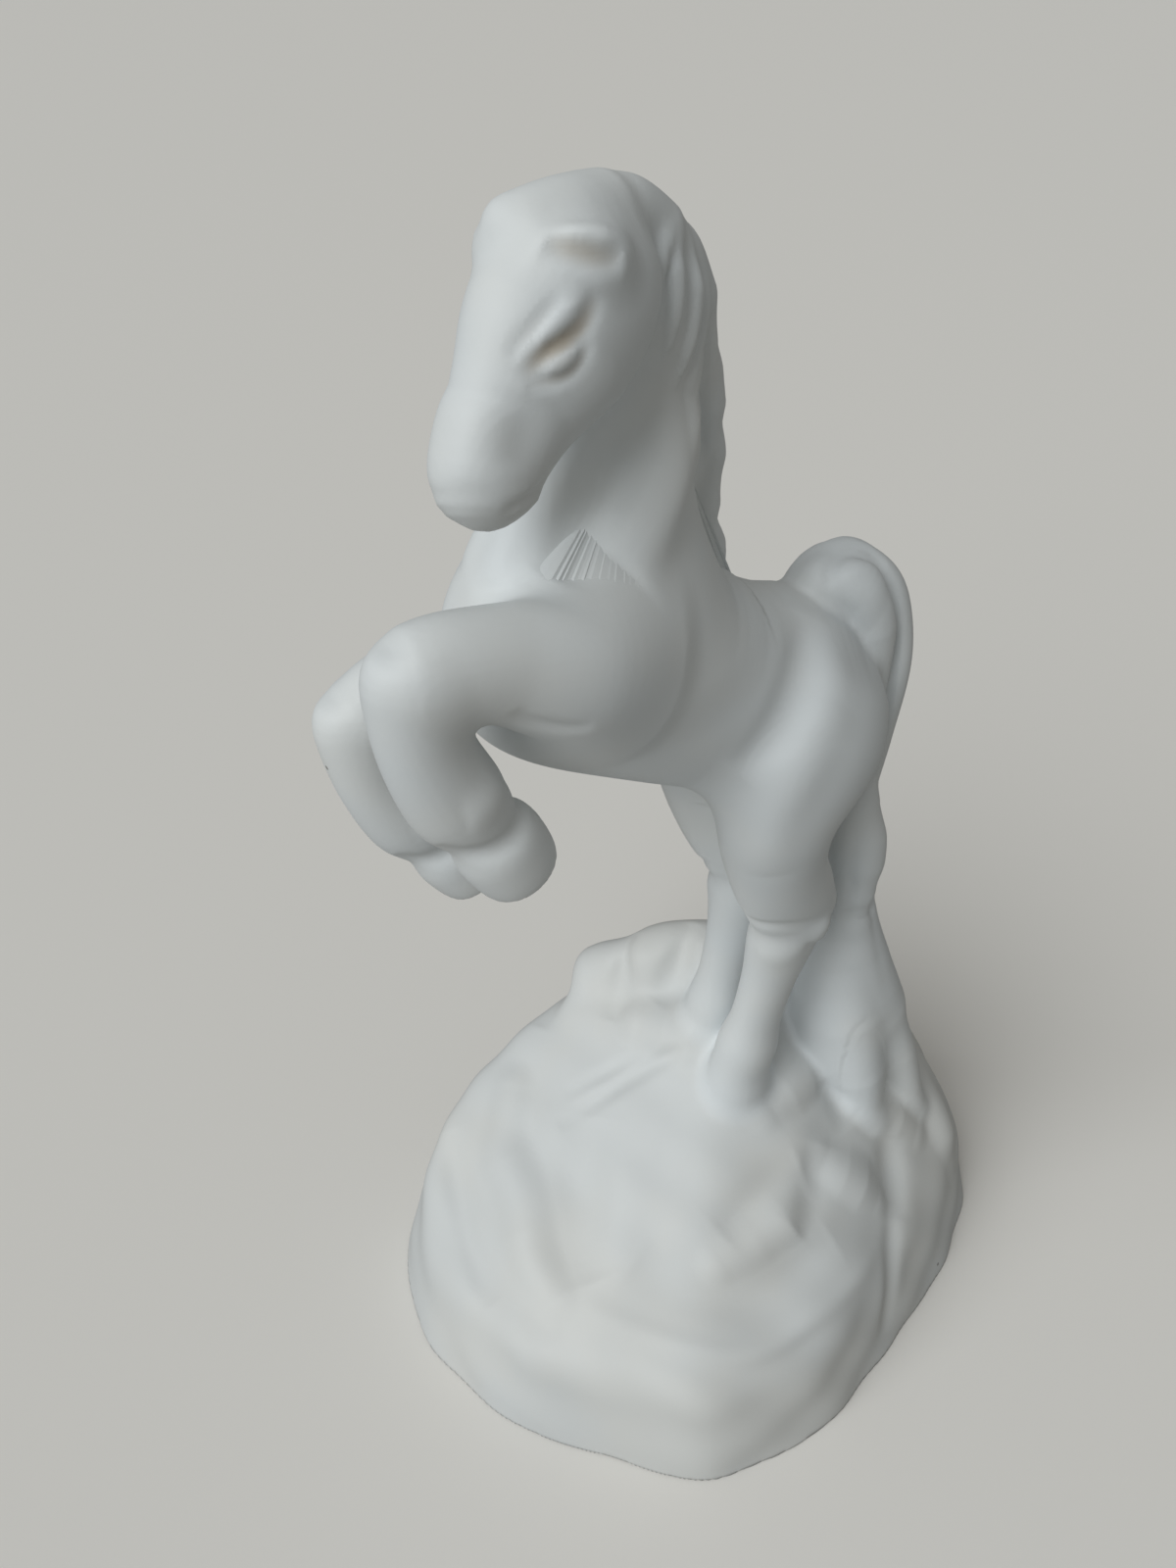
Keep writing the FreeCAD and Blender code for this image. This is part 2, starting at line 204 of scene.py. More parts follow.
class Tube:
    """A tube of oval cross-section along a smooth line, measured from any point in space.

    Rows are centre (3), deep axis (3), side axis (3), deep radius and side radius.
    """

    def __init__(self, rows, pitch=0.7, rounding=0.8):
        rows = smooth_rows(rows, pitch)
        self.centre = rows[:, :3]
        self.forward = unit(np.gradient(self.centre, axis=0))
        deep = rows[:, 3:6]
        deep = deep - (deep * self.forward).sum(1, keepdims=True) * self.forward
        self.deep = unit(deep)
        self.side = np.cross(self.forward, self.deep)
        self.radii = np.maximum(rows[:, 9:11], LEAST_RADIUS)
        gaps = np.linalg.norm(np.diff(self.centre, axis=0), axis=1)
        self.along = np.concatenate([[0], np.cumsum(gaps)])
        self.rounding = np.minimum(rounding, ROUNDING_SHARE * self.radii.min(1))
        reach = self.radii.max(1, keepdims=True) + TUBE_REACH
        self.low = (self.centre - reach).min(0)
        self.high = (self.centre + reach).max(0)

    def at(self, along):
        """Centre, deep axis, side axis and radii at a length along the line."""
        columns = np.hstack([self.centre, self.deep, self.side, self.radii])
        row = np.array([np.interp(along, self.along, column) for column in columns.T])
        return row[:3], unit(row[3:6]), unit(row[6:9]), row[9:11]

    def surface(self, along, around):
        """The point at a length along and an angle round, in degrees from the deep axis."""
        centre, deep, side, radii = self.at(along)
        way = np.array([np.cos(np.radians(around)), np.sin(np.radians(around))])
        reach = 1 / np.linalg.norm(way / radii)
        return centre + reach * (way[0] * deep + way[1] * side)

    def measure(self, points):
        """Signed distance of each point from the tube.

        The point's heights over the square planes of the two stations about it share out its
        place between them, and so its oval. With k0 and k1 the point's place divided by the radii
        once and twice, the distance is k0 (k0 - 1) / k1. Past an end, the overshoot joins it as on
        a rounded disc.
        """
        origin = self.centre[0]
        local = points - origin
        stations = self.centre - origin
        apart = (stations ** 2).sum(1) - 2 * local @ stations.T
        nearest = apart.argmin(1)
        last = len(self.centre) - 1
        ahead = ((points - self.centre[nearest]) * self.forward[nearest]).sum(1)
        way = np.where(ahead >= 0, 1, -1)
        other = np.clip(nearest + way, 0, last)
        behind = ((points - self.centre[other]) * self.forward[other]).sum(1)
        share = np.clip(ahead / np.where(other == nearest, 1, ahead - behind + 1e-9 * way), 0, 1)
        ends = np.where(nearest == last, ahead, np.where(nearest == 0, -ahead, -FAR))
        over = np.where((nearest == 0) & (ahead > 0) | (nearest == last) & (ahead < 0), -FAR, ends)
        inward = np.where(nearest < last / 2, self.along[nearest] + ahead,
                          self.along[-1] - self.along[nearest] - ahead)
        over = np.where(over > 0, over, -np.maximum(inward, 0))
        place = np.clip(nearest + way * share, 0, last)
        below = np.minimum(place.astype(int), last - 1)
        part = (place - below)[:, None]

        def between(values):
            return values[below] * (1 - part) + values[below + 1] * part

        arm = points - between(self.centre)
        radii = between(self.radii)
        deep = (arm * between(self.deep)).sum(1)
        side = (arm * between(self.side)).sum(1)
        flat = np.stack([deep, side], 1)
        k0 = np.linalg.norm(flat / radii, axis=1)
        k1 = np.linalg.norm(flat / radii ** 2, axis=1)
        distance = np.where(k1 > 1e-6, k0 * (k0 - 1) / np.maximum(k1, 1e-6), -radii.min(1))
        ending = over > -END_REACH
        if ending.any():
            rounding = between(self.rounding[:, None])[:, 0]
            aside = np.maximum(distance + rounding, 0)
            beyond = np.maximum(over + rounding, 0)
            capped = np.hypot(aside, beyond) + np.minimum(
                np.maximum(distance, over) + rounding, 0) - rounding
            distance = np.where(ending, capped, distance)
        return distance

    def distance(self, points):
        """Signed distance, worked out only for points near enough to matter."""
        result = np.full(len(points), FAR)
        if (points.max(0) < self.low).any() or (points.min(0) > self.high).any():
            return result
        near = ((points > self.low) & (points < self.high)).all(1)
        if near.any():
            result[near] = self.measure(points[near])
        return result


def chain(table, carrier, start, side=1):
    """The sections of a limb from its start in the carrier's frame: matrix, deep and side radii.
    A right limb's sideways move, yaw and leans are the left limb's, mirrored by side = -1."""
    across, sideways, along, yaw, pitch, roll = start
    matrix = carrier @ placement(across, side * sideways, along, side * yaw, pitch, side * roll)
    sections = []
    for run, bend, lean, half, deeper in table:
        matrix = matrix @ placement(0, 0, run, 0, bend, side * lean)
        sections.append((matrix, half + deeper, half))
    return sections


def tube_through(sections, **options):
    """A tube through a limb's sections."""
    rows = [np.concatenate([matrix[:3, 3], matrix[:3, 0], matrix[:3, 1], (deep, half)])
            for matrix, deep, half in sections]
    return Tube(rows, **options)


# ------------------------------
# The animal's limbs
# ------------------------------

# Where the trunk's rear end stands, and how steeply the trunk climbs towards the chest.
REAR_SET_BACK = 10.0
REAR_HEIGHT = 62.5
TRUNK_CLIMB = 11.0

trunk = chain(TRUNK, np.eye(4), (MID_PLANE, REAR_SET_BACK, SHOULDER_HEIGHT + REAR_HEIGHT,
                                 -90, 90 - TRUNK_CLIMB, 0))
hips = trunk[2][0]
withers = trunk[5][0]
neck = chain(NECK, withers, (-0.3, 0, -4.5, 0, -52, 0))
poll = neck[4][0]
head = chain(HEAD + MUZZLE_TIP, poll, (0.6, 0.4, 3.0, 122, 66, 85))
brow = head[1][0]
mane = chain(MANE, poll, (0.5, -0.2, 5.1, 0, -145, 0))
forelock = chain(FORELOCK, brow, (-2.1, 0.2, -3.4, -59, -18, 29))
EAR_START = (-2.0, 3.9, 0.5, -70, -13, 47)
left_forearm = chain(FOREARM, withers, (-1.4, 4.8, -1.6, 0, 6, -27))
right_forearm = chain(FOREARM, withers, (1.0, 4.4, -4.6, 0, 34, -27), -1)
left_thigh = chain(THIGH, hips, (-1.6, 3.6, 1.0, 0, 78, -24))
right_thigh = chain(THIGH, hips, (-1.6, 3.6, 0.8, 0, 80, -24), -1)
tail = chain(TAIL, trunk[1][0], (-1.4, -1.0, 3.0, 90, 0, -86))

# The mane's core is slimmer by what its locks stand out.
LOCK_RISE = 0.8
# Each limb's tube, and how softly it runs into what it was joined to, in mm.
LIMBS = {
    "trunk": (tube_through(trunk, rounding=2.0), 0.0),
    "neck": (tube_through(neck), 5.0),
    "head": (tube_through(head, rounding=1.6), 1.2),
    "left_ear": (tube_through(chain(EAR, brow, EAR_START)), 2.4),
    "right_ear": (tube_through(chain(EAR, brow, EAR_START, -1)), 2.4),
    "forelock": (tube_through(forelock), 2.0),
    "mane": (tube_through([(matrix, deep - LOCK_RISE, half - LOCK_RISE)
                           for matrix, deep, half in mane]), 2.6),
    "left_forearm": (tube_through(left_forearm), 3.0),
    "left_fore_cannon": (tube_through(chain(
        FORE_CANNON, left_forearm[3][0], (-2.0, 0, 1.6, 0, 96, 0))), 1.4),
    "right_forearm": (tube_through(right_forearm), 3.0),
    "right_fore_cannon": (tube_through(chain(
        FORE_CANNON, right_forearm[3][0], (-2.2, 0, 1.4, 0, 73, 0), -1)), 1.4),
    "left_thigh": (tube_through(left_thigh), 4.5),
    "left_hind_cannon": (tube_through(chain(
        HIND_CANNON, left_thigh[5][0], (-0.5, 0, -2.2, 0, -36, 2))), 1.2),
    "right_thigh": (tube_through(right_thigh), 4.5),
    "right_hind_cannon": (tube_through(chain(
        HIND_CANNON, right_thigh[5][0], (-0.5, 0, -2.2, 0, -40, -8), -1)), 1.2),
    "tail": (tube_through(tail), 0.8),
}
PIECES = ["rock_base"] + list(LIMBS)


# ------------------------------
# The rock: walls that lean in, and sloping facets above them
# ------------------------------

# Heading of the outward side from +X to +Y, reach at the table, and lean inwards from upright.
ROCK_WALLS = [
    (-95, 36.0, 14),
    (-70, 32.6, 14),
    (-45, 28.6, 12),
    (-20, 28.35, 13),
    (-3, 25.6, 12),
    (20, 23.9, 14),
    (36, 27.5, 16),
    (66, 34.5, 12),
    (95, 37.0, 14),
    (130, 36.0, 14),
    (160, 31.0, 12),
    (188, 28.5, 12),
    (216, 34.2, 12),
    (243, 37.2, 13),
]
# Heading, reach at the shoulder's height, and slope from level.
ROCK_FACETS = [
    (-75, 25.5, 37),
    (-45, 22.5, 37),
    (-5, 19.5, 42),
    (25, 19.0, 48),
    (52, 27.5, 47),
    (78, 33.0, 60),
    (50, 74.0, 18),
    (140, 31.0, 48),
    (-125, 38.0, 40),
]
WALL_THICKNESS = 3.2
ROOF_THICKNESS = 4.0
# How far the edges between the faces are rounded off.
ROCK_EDGE = 0.7


def rock_planes(inset_wall, inset_facet):
    """Outward normals and offsets of all the faces, each moved inwards by its inset."""
    walls = [(heading, reach, 90 - lean, 0.0, inset_wall) for heading, reach, lean in ROCK_WALLS]
    facets = [(heading, reach, slope, SHOULDER_HEIGHT, inset_facet)
              for heading, reach, slope in ROCK_FACETS]
    heading, reach, tilt, height, inset = np.array(walls + facets).T
    heading, tilt = np.radians(heading), np.radians(tilt)
    normals = np.stack([np.cos(heading) * np.sin(tilt), np.sin(heading) * np.sin(tilt),
                        np.cos(tilt)], 1)
    places = np.stack([MID_PLANE + reach * np.cos(heading), reach * np.sin(heading), height], 1)
    return normals, (normals * places).sum(1) - inset


def soft_highest(values, softness):
    """The highest value of each row, with the change from one to another rounded off."""
    top = values.max(1)
    return top + softness * np.log(np.exp((values - top[:, None]) / softness).sum(1))


def rock_distance(points, planes, softness):
    """Signed distance from the body that a set of faces encloses."""
    normals, offsets = planes
    return soft_highest(points @ normals.T - offsets, softness)


ROCK_OUTER = rock_planes(0.0, 0.0)
ROCK_INNER = rock_planes(WALL_THICKNESS, ROOF_THICKNESS)


# ------------------------------
# Strokes and locks: what the modelling tool draws in or lays on after the limbs are joined
# ------------------------------

def soft_union(first, second, softness):
    """The nearer of two distances, filled in where they are close, by a quarter of the softness."""
    if softness <= 0:
        return np.minimum(first, second)
    close = np.maximum(softness - np.abs(first - second), 0) / softness
    return np.minimum(first, second) - close ** 2 * softness / 4


def joined_limbs(points):
    """Signed distance from the limbs run together, and a list of each limb's own."""
    body = np.full(len(points), FAR)
    reaches = []
    for tube, softness in LIMBS.values():
        distance = tube.distance(points)
        reaches.append(distance)
        body = soft_union(body, distance, softness)
    return body, reaches


# How far the slope of a distance is felt for, and the steps and their share of the way by which
# a place is pressed onto a surface.
NUDGE = 0.05
PRESS_STEPS = 10
PRESS_SHARE = 0.8


def pressed(places, depth=0.0, onto=lambda points: joined_limbs(points)[0]):
    """Places moved to a depth under the surface near them, down the slope of its distance."""
    places = np.array(places, float)
    probes = NUDGE * np.vstack([np.zeros(3), np.eye(3)])
    for _ in range(PRESS_STEPS):
        values = onto((places[:, None] + probes).reshape(-1, 3)).reshape(len(places), 4)
        slope = unit(values[:, 1:] - values[:, :1])
        places = places - PRESS_SHARE * (values[:, :1] + depth) * slope
    return places


# How often a line is eased, each of its stations towards the mean of its neighbours.
EASINGS = 6


class Path:
    """A smooth line that runs close to its places, and the squared distance of points from it."""

    def __init__(self, places, pitch, reach):
        places = smooth_rows(places, pitch)
        for _ in range(EASINGS):
            places[1:-1] = 0.25 * places[:-2] + 0.5 * places[1:-1] + 0.25 * places[2:]
        self.places = places
        self.forward = unit(np.gradient(places, axis=0))
        gaps = np.linalg.norm(np.diff(places, axis=0), axis=1)
        self.gaps = np.stack([np.append(gaps[:1], gaps), np.append(gaps, gaps[-1:])], 1)
        self.share = np.linspace(0, 1, len(places))
        self.low = places.min(0) - reach
        self.high = places.max(0) + reach

    def nearby(self, points):
        """Numbers of the points within reach of the line."""
        if (points.max(0) < self.low).any() or (points.min(0) > self.high).any():
            return np.array([], int)
        return np.nonzero(((points > self.low) & (points < self.high)).all(1))[0]

    def measure(self, points, values):
        """Squared distance from the line, and the values of its places, eased between them."""
        local = points - self.places[0]
        stations = self.places - self.places[0]
        apart = (stations ** 2).sum(1) - 2 * local @ stations.T
        nearest = apart.argmin(1)
        squared = (local ** 2).sum(1) + apart[np.arange(len(points)), nearest]
        ahead = ((points - self.places[nearest]) * self.forward[nearest]).sum(1)
        gap = self.gaps[nearest, (ahead > 0).astype(int)]
        slide = np.clip(ahead, -0.5 * gap, 0.5 * gap)
        squared = np.maximum(squared - 2 * slide * ahead + slide ** 2, 0)
        numbers = np.arange(len(self.places))
        return [squared] + [np.interp(nearest + slide / gap, numbers, value)
                            for value in values]


# A stroke's stations to its own width, its reach in widths, and how bluntly its ends fade out.
STATIONS_PER_WIDTH = 2.5
STROKE_REACH = 2.6
FADE = 0.8


class Stroke(Path):
    """A soft ridge (height over 0) or groove (height under 0) along a smooth line, falling off as
    a bell curve of its width, and fading out towards both ends. Where it has a brown stain, that is
    partly a tint and partly painted shade in the groove."""

    def __init__(self, places, width, height, stain_and_shade=0.0):
        super().__init__(places, width / STATIONS_PER_WIDTH, STROKE_REACH * width)
        self.width = width
        fade = np.sin(np.pi * self.share) ** FADE
        self.height = height * fade
        self.stain_and_shade = stain_and_shade * fade

    def apply(self, points, lift, stain_and_shade):
        """Adds the stroke's height to lift, and its brown to the stain field, where it reaches:
        partly a tint, partly painted shade.
        """
        near = self.nearby(points)
        if not len(near):
            return
        squared, height, stain_and_shade_amount = self.measure(points[near], (self.height, self.stain_and_shade))
        bell = np.exp(-squared / self.width ** 2)
        lift[near] += height * bell
        stain_and_shade[near] = np.maximum(stain_and_shade[near], stain_and_shade_amount * bell)


# The distance between a lock's stations, and its reach past its radius.
LOCK_PITCH = 0.45
LOCK_REACH = 1.6


class Lock(Path):
    """A strand or bulge laid on a piece: round in section, thickest past its start, and joined
    to what is under it with a little softness."""

    def __init__(self, piece, places, radius, softness=0.5, shape=(0.45, 1.0, 0.85, 0.25)):
        super().__init__(places, LOCK_PITCH, radius + LOCK_REACH)
        self.piece = PIECES.index(piece)
        self.radius = radius * np.interp(self.share, (0.0, 0.35, 0.7, 1.0), shape)
        self.softness = softness

    def apply(self, points, *fields):
        """Joins the strand to each of the given fields of distance, in place."""
        near = self.nearby(points)
        if not len(near):
            return
        squared, radius = self.measure(points[near], (self.radius,))
        for field in fields:
            field[near] = soft_union(field[near], np.sqrt(squared) - radius, self.softness)


def on_limb(name, *places, side=1, depth=0.0):
    """Points at a depth under the animal's skin, each found from its length along a limb and its
    angle round it. The other side's are mirrored by side = -1."""
    tube = LIMBS[name][0]
    return pressed([tube.surface(along, side * around) for along, around in places], depth)


STROKES = []
LOCKS = []


# ------------------------------
# The head
# ------------------------------

def carve_face(side):
    """One side's eye under its long brow, the fold of the mouth and the hollow of the ear."""
    def face(*places):
        return on_limb("head", *places, side=side)

    STROKES.extend([
        # the upper lid's deep crease, and the shallower one under the eyeball, with painted shade in
        # warm brown along both
        Stroke(face((6.4, 117), (7.9, 112), (8.9, 116), (9.8, 124), (10.6, 129), (11.6, 131)),
               0.55, -0.44, stain_and_shade=1.0),
        Stroke(face((11.8, 128), (11.3, 119), (10.8, 110), (10.2, 102), (9.3, 99), (8.1, 103)),
               0.42, -0.32, stain_and_shade=0.5),
        Stroke(face((8.8, 106), (9.8, 110), (10.9, 118)), 0.80, 0.26, stain_and_shade=0.30),
        # the brow's ridge, and the groove between it and the forehead, with a little painted shade in
        # the groove
        Stroke(face((6.9, 122), (8.5, 126), (9.8, 132), (11.0, 138)), 0.65, 0.24),
        Stroke(face((7.6, 133.5), (9.0, 137.5), (10.2, 143), (11.2, 147)), 0.45, -0.27, stain_and_shade=0.25),
        # the cheek's disc and the bone below the eye
        Stroke(face((7.5, 62), (10.0, 60), (12.2, 66)), 2.4, 0.35),
        Stroke(face((11.8, 120), (14.0, 110), (16.0, 104)), 1.5, -0.30),
        # the muzzle's swelling, the fold of the mouth and the chin under it, with a little painted
        # shade in the fold
        Stroke(face((13.0, 160), (15.4, 152), (17.6, 142)), 2.2, 0.45),
        Stroke(face((15.4, 44), (16.8, 60), (17.8, 76), (18.6, 100)), 0.40, -0.45, stain_and_shade=0.15),
    ])
    ear = "left_ear" if side > 0 else "right_ear"
    # the ear's hollow, grooved deep and filled with dark warm brown: painted shade under the
    # overhanging rim
    hollow = on_limb(ear, (0.9, 150), (1.9, 146), (3.1, 150), (4.4, 160), side=side)
    STROKES.append(Stroke(hollow, 0.68, -0.95, stain_and_shade=1.0))
    rim = on_limb(ear, (0.4, 205), (1.8, 200), (3.2, 198), (4.6, 190), side=side)
    STROKES.append(Stroke(rim, 0.7, 0.12))


# The ribbons of the mane: the limb that each is laid out on, then lengths along it and angles
# round it from the ribbon's root to its tip, and its radius.
MANE_RIBBONS = [
    ("neck", ((31.4, 158), (31.3, 128), (30.9, 110), (29.6, 99)), 0.72),
    ("neck", ((31.2, 170), (30.8, 142), (29.0, 122), (27.4, 111), (25.0, 104)), 0.76),
    ("neck", ((30.4, 172), (28.8, 153), (27.2, 143), (24.8, 130), (22.6, 122)), 0.80),
    ("neck", ((29.4, 177), (27.4, 168), (25.4, 158), (22.6, 145), (19.8, 134)), 0.85),
    ("neck", ((26.4, 172), (23.6, 158), (20.4, 143), (16.8, 131)), 1.00),
    ("neck", ((22.6, 172), (20.0, 160), (17.4, 149), (14.8, 139)), 1.00),
    ("mane", ((7.6, 6), (10.4, 34), (13.6, 56), (16.8, 80), (19.6, 98)), 1.05),
    ("mane", ((12.6, 6), (15.8, 32), (19.4, 56), (23.6, 88)), 1.10),
    ("mane", ((17.6, 6), (21.0, 32), (24.8, 58), (29.0, 86)), 1.15),
    ("mane", ((22.6, 6), (26.0, 32), (29.4, 58), (33.0, 82)), 1.10),
    ("mane", ((27.4, 6), (30.4, 32), (33.0, 56), (35.6, 74)), 1.00),
]
RIBBON_RISE = 0.66
# The crest's own locks, end to end down the back of the neck: where each starts on the mane, its
# length and radius, and how far it stands out. The first comes over the poll from the forelock.
POLL_LOCK = [(7.0, -19.4, 118.2), (6.8, -17.8, 118.4), (6.4, -16.1, 117.9), (5.9, -14.2, 116.6),
             (5.3, -12.4, 115.0)]
CREST_LOCKS = [(1.6, 10.0, 1.8, 1.05), (11.4, 8.2, 1.8, 0.8), (19.6, 9.6, 1.8, 0.6),
               (29.2, 8.0, 1.6, 0.5)]


def lay_mane(side):
    """Overlapping ribbons that part from the crest and sweep down onto one side of the neck."""
    for limb, places, radius in MANE_RIBBONS:
        line = on_limb(limb, *places, side=side, depth=radius - RIBBON_RISE)
        LOCKS.append(Lock("mane", line, radius, softness=0.15))


def lay_crest():
    """The lock over the poll, and the crest's own locks end to end down the back of the neck."""
    LOCKS.append(Lock("mane", POLL_LOCK, 1.9, softness=1.2, shape=(0.8, 1.0, 1.0, 0.5)))
    for start, length, radius, proud in CREST_LOCKS:
        line = on_limb("mane", *[(start + share * length, 0) for share in (0, 0.33, 0.67, 1)],
                       depth=radius - proud)
        LOCKS.append(Lock("mane", line, radius, shape=(0.5, 0.85, 1.0, 0.6)))


carve_face(1)
carve_face(-1)
lay_mane(1)
lay_mane(-1)
lay_crest()


# ------------------------------
# The tail
# ------------------------------

# Angle round the tail where each long groove starts, how far round it drifts, the lengths along
# the tail where it starts and ends, and its width and depth.
TAIL_GROOVES = [
    (-72, -14, 12.0, 46.0, 0.8, 0.45),
    (-112, 14, 10.0, 44.0, 0.8, 0.45),
    (62, 50, 30.0, 58.0, 0.9, 0.55),
    (140, 40, 34.0, 62.0, 0.9, 0.55),
    (-150, 55, 34.0, 62.0, 0.9, 0.55),
    (-40, 45, 40.0, 66.0, 0.9, 0.55),
    (10, 30, 36.0, 66.0, 0.8, 0.45),
]
# Length along and angle round the tail of the cleft between its outer and inner strands, and of
# the outer strand's ridge, on the near face.
STRAND_CLEFT = [(8.4, -30), (9.4, -46), (10.4, -36), (11.8, -6), (16.8, 12), (22, 14), (28, 12),
                (34, 6)]
STRAND_RIDGE = [(5.5, -118), (9.2, -98), (11, -62), (13, -32), (17, -14), (23, -12), (30, -12),
                (38, -16)]
# The flat strand inside the tail's arch, from the curl at its top down to where it tapers out.
INNER_STRAND = [(2.6, 5.8, 88.0), (4.0, 7.2, 88.0), (4.4, 8.6, 86.2), (4.0, 9.6, 83.0),
                (3.6, 10.0, 79.4), (3.0, 10.6, 75.4), (2.6, 11.4, 71.0)]
# A swelling half-way down the tail, then the six strands in which its end spreads over the rock:
# places and radius.
TAIL_ROOTS = [
    ([(2.9, 12.8, 62.5), (3.5, 13.5, 59.5), (3.6, 13.8, 56.5), (3.2, 13.9, 53)], 1.8),
    ([(2.2, 13.4, 51), (1.6, 15, 45), (1.4, 16.8, 39), (1.8, 19.2, 33), (3.2, 22.8, 23)], 2.9),
    ([(0.8, 13.6, 50), (-0.9, 15.0, 44), (-2.4, 16.4, 38), (-3.6, 18.4, 31), (-4, 21, 22)], 2.7),
    ([(2.6, 14.2, 47), (3.0, 16.4, 41), (4.0, 18.8, 34), (5.6, 21.8, 26), (7.2, 24.5, 17)], 2.4),
    ([(0.8, 12.8, 44), (1.0, 13.0, 38.5), (1.4, 13.4, 32), (2.4, 14.2, 24)], 3.2),
    ([(2.0, 13.2, 39), (2.8, 13.6, 32), (4.4, 14.4, 24)], 2.8),
    ([(2.8, 13.6, 42), (4.4, 14.4, 35), (6.0, 15.4, 28), (7.6, 16.8, 20)], 3.0),
]
# The curl's dark rim, and the curl itself rolled over it, at the top of the arch.
CURL_RIM = [(4.2, 4.5, 88.2), (3.5, 4.7, 89.4), (2.8, 6.2, 90.1), (2.3, 8.1, 90.3),
            (2.9, 9.5, 89.8), (3.9, 10.3, 88.6)]
CURL = [(4.7, 5.2, 88.8), (4.4, 6.5, 89.4), (4.4, 8.0, 89.0), (4.6, 8.9, 87.4), (4.4, 9.4, 85.0)]


def comb_tail():
    """A heavy outer strand that rolls over the top, the cleft inside it on both faces, a flatter
    strand that ends in a curl, the roots over the rock, and long grooves lower down."""
    for turn, way in ((0, 1), (180, -1)):
        for places, width, height in ((STRAND_CLEFT, 0.62, -0.85), (STRAND_RIDGE, 1.5, 0.40)):
            on_face = [(along, turn + way * around) for along, around in places]
            STROKES.append(Stroke(on_limb("tail", *on_face), width, height))
    LOCKS.append(Lock("tail", INNER_STRAND, 2.4, softness=0.8, shape=(0.5, 0.95, 1.0, 0.45)))
    STROKES.append(Stroke(CURL_RIM, 0.5, -0.55))
    STROKES.append(Stroke(CURL, 0.8, 0.45))
    for places, radius in TAIL_ROOTS:
        LOCKS.append(Lock("tail", places, radius, softness=3.0, shape=(0.6, 1.0, 1.0, 0.7)))
    for around, drift, start, end, width, depth in TAIL_GROOVES:
        shares = np.linspace(0, 1, 7)
        places = [(start + share * (end - start), around + drift * share) for share in shares]
        STROKES.append(Stroke(on_limb("tail", *places), width, -depth))


comb_tail()


# ------------------------------
# Body and legs
# ------------------------------

# The valley from the angle of the jaw down to the breast, and the swells on either side of it:
# places on the left side, width and height.
THROAT_VALLEY = ([(9.0, -14.0, 110.0), (8.8, -15.2, 107.8), (8.4, -16.0, 105.9),
                  (7.7, -17.2, 103.9), (7.1, -18.3, 101.8), (6.8, -19.4, 99.7),
                  (6.9, -20.7, 97.7), (7.4, -22.2, 96.0)], 1.7, -2.3)
BREAST = ([(4.2, -20.4, 103.0), (4.0, -21.6, 101.0), (3.6, -22.8, 99.0), (3.8, -24.0, 97.0),
           (4.8, -25.4, 95.0)], 1.5, 0.8)
NECK_MUSCLE = ([(7.8, -10.9, 106.5), (8.4, -12.2, 103.1), (8.9, -13.9, 100.0), (9.3, -15.8, 98.2),
                (9.6, -17.8, 97.0)], 2.5, 1.5)


def model_legs(side, name):
    """Fetlock and hoof of one side's legs, the folds where they leave the trunk, and the same
    side's valley and swells of the neck."""
    def stroke(limb, width, height, *places):
        STROKES.append(Stroke(on_limb(limb, *places, side=side), width, height))

    fore = name + "_fore_cannon"
    for face in (1, -1):
        # the crease over the hoof, which runs out at the front, and the fetlock's lobe above it
        stroke(fore, 0.85, -0.62, (16.2, -14 * face), (16.5, 24 * face), (16.7, 62 * face),
               (16.4, 100 * face), (15.4, 132 * face), (13.6, 150 * face))
        stroke(fore, 1.6, 0.42, (12.6, 20 * face), (12.8, 55 * face), (12.2, 95 * face))
    # the elbow's fold over the belly
    stroke(name + "_forearm", 0.6, -0.35, (12.6, 66), (10.6, 54), (8.4, 55), (6.6, 63))
    # the valley in front of the thigh, the belly's swell beside it and the thigh's own
    stroke("trunk", 1.7, -1.2, (10.8, 160), (12.3, 142), (13.5, 124), (14.6, 106), (15.6, 88),
           (16.8, 66))
    stroke("trunk", 2.4, 0.5, (8.4, 165), (9.6, 142), (10.6, 116), (11.4, 92))
    stroke(name + "_thigh", 2.2, 0.6, (1.5, 125), (4.5, 136), (7.5, 143), (10.8, 141), (14, 136))
    for places, width, height in (THROAT_VALLEY, BREAST, NECK_MUSCLE):
        places = np.array(places)
        # mirrored on the right side
        places[:, 0] = MID_PLANE + side * (places[:, 0] - MID_PLANE)
        STROKES.append(Stroke(places, width, height))
    # the gaskin's end overhangs the cannon, and the point of the hock stands out behind
    stroke(name + "_thigh", 0.8, -0.42, (20.8, -160), (21.6, 178), (21.4, 157), (22.0, 135),
           (23.8, 106), (26.2, 76))
    stroke(name + "_hind_cannon", 1.7, 0.35, (3.6, 178), (3.4, 150), (3.2, 120), (2.8, 84))
    stroke(name + "_hind_cannon", 2.2, 0.7, (0.6, 30), (1.6, 50), (3.0, 64))


model_legs(1, "left")
model_legs(-1, "right")
# the back, a little fuller behind the withers
STROKES.append(Stroke(on_limb("trunk", (4, -172), (8, -170), (12, -172), (17, 178), (22, 178)),
                      5.5, 1.5))


# ------------------------------
# The rock's carving
# ------------------------------

ROCK_LUMPS = []
UNEVENNESS = 0.07


def rock_skin(points):
    """Signed distance from the rock's faces with its lumps, less a slow unevenness: three sine
    waves that run across each other."""
    rock = rock_distance(points, ROCK_OUTER, ROCK_EDGE)
    for lump in ROCK_LUMPS:
        lump.apply(points, rock)
    x, y, z = points.T
    wave = (np.sin(0.62 * x + 0.31 * y + 0.45 * z) + np.sin(0.74 * y - 0.28 * x + 0.52 * z + 1.0)
            + np.sin(0.93 * z + 0.41 * x - 0.37 * y + 2.0))
    return rock - UNEVENNESS * wave


